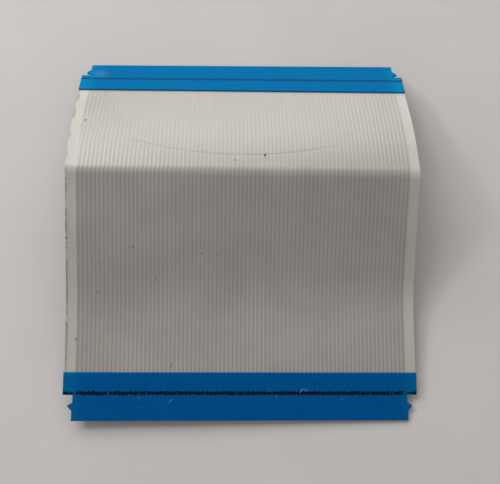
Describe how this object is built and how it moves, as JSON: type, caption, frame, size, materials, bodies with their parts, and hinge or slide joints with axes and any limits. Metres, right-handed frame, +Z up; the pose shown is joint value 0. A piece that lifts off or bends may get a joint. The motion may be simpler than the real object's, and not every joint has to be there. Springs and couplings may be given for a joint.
{
  "type": "flat flex cable",
  "caption": "Flat flex cable of flat conductors between clear films, with blue stiffened die-cut tips at both ends, lying as a low arch.",
  "frame": {"origin": "centre of the bounding box on the table plane", "axes": "+X across the cable, +Y from the front end to the rear end, +Z up from the table"},
  "size_m": [0.0426, 0.0468, 0.0085],
  "materials": {
    "upper_film": "satin ribbed polyester film",
    "lower_film": "satin polyester film",
    "stiffener": "satin blue polyester tape",
    "mark_ink": "worn dark print",
    "conductor": "tinned copper"
  },
  "bodies": {
    "root": {"upper_film": "upper_film", "lower_film": "lower_film", "front_stiffener": "stiffener", "rear_stiffener": "stiffener", "front_insertion_mark": "mark_ink", "rear_insertion_mark": "mark_ink", "conductors_01_02": "conductor", "conductors_03_04": "conductor", "conductors_05_06": "conductor", "conductors_07_08": "conductor", "conductors_09_10": "conductor", "conductors_11_12": "conductor", "conductors_13_14": "conductor", "conductors_15_16": "conductor", "conductors_17_18": "conductor", "conductors_19_20": "conductor", "conductors_21_22": "conductor", "conductors_23_24": "conductor", "conductors_25_26": "conductor", "conductors_27_28": "conductor", "conductors_29_30": "conductor", "conductors_31_32": "conductor", "conductors_33_34": "conductor", "conductors_35_36": "conductor", "conductors_37_38": "conductor", "conductors_39_40": "conductor", "conductors_41_42": "conductor", "conductors_43_44": "conductor", "conductors_45_46": "conductor", "conductors_47_48": "conductor", "conductors_49_50": "conductor", "conductors_51_52": "conductor", "conductors_53_54": "conductor", "conductors_55_56": "conductor", "conductors_57_58": "conductor", "conductors_59_60": "conductor", "conductors_61_62": "conductor", "conductors_63_64": "conductor", "conductors_65_66": "conductor", "conductors_67_68": "conductor", "conductors_69_70": "conductor", "conductors_71_72": "conductor", "conductors_73_74": "conductor", "conductors_75_76": "conductor", "conductors_77_78": "conductor", "conductors_79_80": "conductor"}
  },
  "joints": []
}
